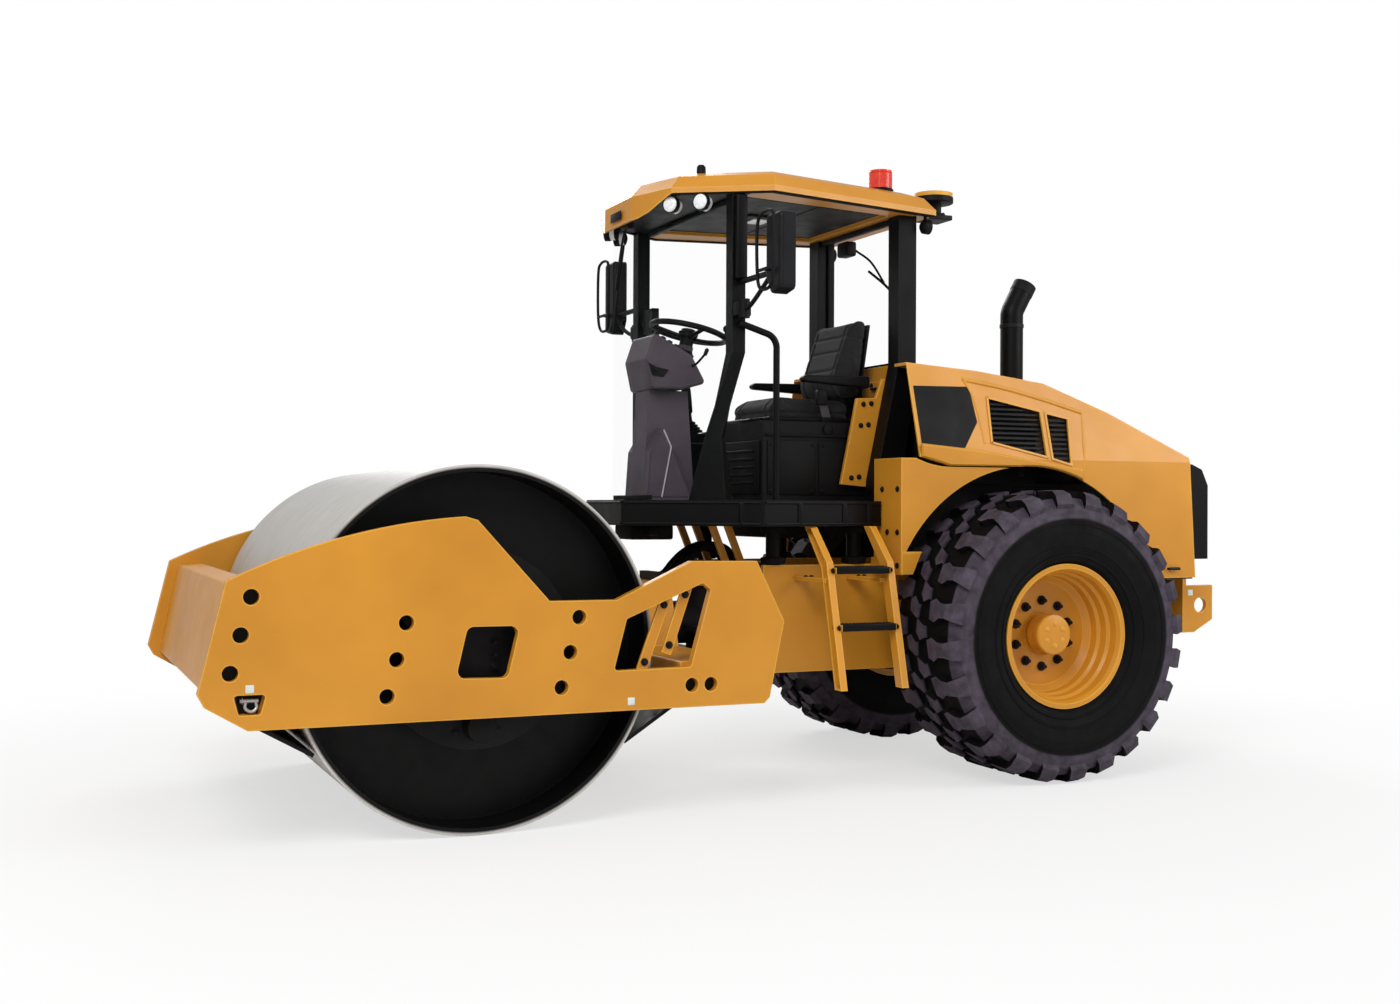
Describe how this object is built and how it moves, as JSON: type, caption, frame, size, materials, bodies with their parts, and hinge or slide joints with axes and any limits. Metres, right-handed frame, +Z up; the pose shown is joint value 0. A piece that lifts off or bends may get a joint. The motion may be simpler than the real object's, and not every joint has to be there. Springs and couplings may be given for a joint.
{
  "type": "single drum road roller",
  "caption": "Articulated soil compactor: smooth steel drum in a plate frame ahead of a hinge, two lugged tyres, an open-sided roofed operator place and a tilting hood.",
  "frame": {"origin": "on the ground, in the middle of the overall length and width", "axes": "+X forward, +Y to the machine's left, +Z up"},
  "size_m": [5.462, 2.3, 3.1053],
  "materials": {
    "body_paint": "satin yellow machine paint",
    "black_paint": "satin black paint",
    "drum_steel": "rolled steel with light scuffs",
    "dark_steel": "dark machined steel",
    "chrome_rod": "polished rod",
    "tyre_rubber": "matt rubber",
    "rubber": "matt rubber",
    "grey_plastic": "grained grey plastic",
    "black_plastic": "grained black plastic",
    "seat_fabric": "dark woven cover",
    "window_glass": "pale green clear glass",
    "beacon_red": "ribbed lens",
    "mirror_shell": "moulded housing",
    "lamp": "round lamp",
    "yellow_plastic": "moulded cap"
  },
  "bodies": {
    "chassis": {"frame_rails": "body_paint", "frame_front": "body_paint", "frame_tail": "body_paint", "hitch_hoses": "rubber", "rear_axle": "dark_steel", "engine_block": "dark_steel", "radiator": "black_paint", "fenders": "body_paint", "platform": "black_paint", "ladder": "body_paint", "bulkhead": "body_paint", "a_posts": "black_paint", "b_posts": "black_paint", "roof": "body_paint", "windshield": "window_glass", "rear_window": "window_glass", "seat_base": "black_plastic", "seat_cushion": "seat_fabric", "seat_back": "seat_fabric", "console_base": "grey_plastic", "console_head": "grey_plastic", "control_console": "black_plastic", "display": "black_plastic", "handrail": "black_paint", "mirrors": "mirror_shell", "beacon": "beacon_red", "antenna_dome": "yellow_plastic", "work_lamps": "lamp"},
    "hood": {"hood": "body_paint", "hood_vents": "black_paint", "rear_grille": "black_paint", "exhaust_stack": "black_paint"},
    "steering_wheel": {"steering_wheel": "black_plastic"},
    "hitch": {"hitch_yoke": "dark_steel"},
    "front_frame": {"side_plate_left": "body_paint", "side_plate_right": "body_paint", "front_crossmember": "body_paint", "rear_crossmember": "body_paint", "front_scraper": "dark_steel", "rear_scraper": "dark_steel", "drum_carriers": "dark_steel", "drum_isolators": "rubber"},
    "drum": {"drum": "drum_steel"},
    "barrel_left": {"cylinder_barrel_left": "black_paint"},
    "rod_left": {"cylinder_rod_left": "chrome_rod"},
    "barrel_right": {"cylinder_barrel_right": "black_paint"},
    "rod_right": {"cylinder_rod_right": "chrome_rod"},
    "wheel_left": {"tyre_left": "tyre_rubber", "rim_left": "body_paint"},
    "wheel_right": {"tyre_right": "tyre_rubber", "rim_right": "body_paint"}
  },
  "joints": [
    {"name": "articulation", "type": "hinge", "parent": "chassis", "child": "hitch", "pos_m": [0.1, 0, 0.77], "axis": [0, 0, 1], "range_deg": [-34, 34], "deforming": ["hitch_hoses"]},
    {"name": "oscillation", "type": "hinge", "parent": "hitch", "child": "front_frame", "pos_m": [0.4, 0, 0.77], "axis": [1, 0, 0], "range_deg": [-15, 15]},
    {"name": "drum_spin", "type": "hinge", "parent": "front_frame", "child": "drum", "pos_m": [1.604, 0, 0.7675], "axis": [0, 1, 0], "continuous": true},
    {"name": "wheel_left_spin", "type": "hinge", "parent": "chassis", "child": "wheel_left", "pos_m": [-1.4, 0.805, 0.728], "axis": [0, 1, 0], "continuous": true},
    {"name": "wheel_right_spin", "type": "hinge", "parent": "chassis", "child": "wheel_right", "pos_m": [-1.4, -0.805, 0.728], "axis": [0, 1, 0], "continuous": true},
    {"name": "hood_tilt", "type": "hinge", "parent": "chassis", "child": "hood", "pos_m": [-0.91, 0, 2.05], "axis": [0, 1, 0], "range_deg": [0, 45]},
    {"name": "steering_wheel_turn", "type": "hinge", "parent": "chassis", "child": "steering_wheel", "pos_m": [0.195, 0, 2.262], "axis": [-0.225, 0, 0.9744], "continuous": true},
    {"name": "barrel_left_swing", "type": "hinge", "parent": "chassis", "child": "barrel_left", "pos_m": [-0.39, 0.33, 0.69], "axis": [0, 0, 1], "range_deg": [-3.95, 3.95]},
    {"name": "barrel_right_swing", "type": "hinge", "parent": "chassis", "child": "barrel_right", "pos_m": [-0.39, -0.33, 0.69], "axis": [0, 0, 1], "range_deg": [-3.95, 3.95]},
    {"name": "rod_left_slide", "type": "slide", "parent": "barrel_left", "child": "rod_left", "axis": [0.9938, -0.1108, 0], "range_m": [-0.1572, 0.1572]},
    {"name": "rod_right_slide", "type": "slide", "parent": "barrel_right", "child": "rod_right", "axis": [0.9938, 0.1108, 0], "range_m": [-0.1572, 0.1572]}
  ],
  "couplings": [
    {"joint": "barrel_left_swing", "follows": "articulation", "ratio": 0.1154},
    {"joint": "barrel_right_swing", "follows": "articulation", "ratio": 0.1154},
    {"joint": "rod_left_slide", "follows": "articulation", "m_per_rad": -0.2632},
    {"joint": "rod_right_slide", "follows": "articulation", "m_per_rad": 0.2632}
  ]
}
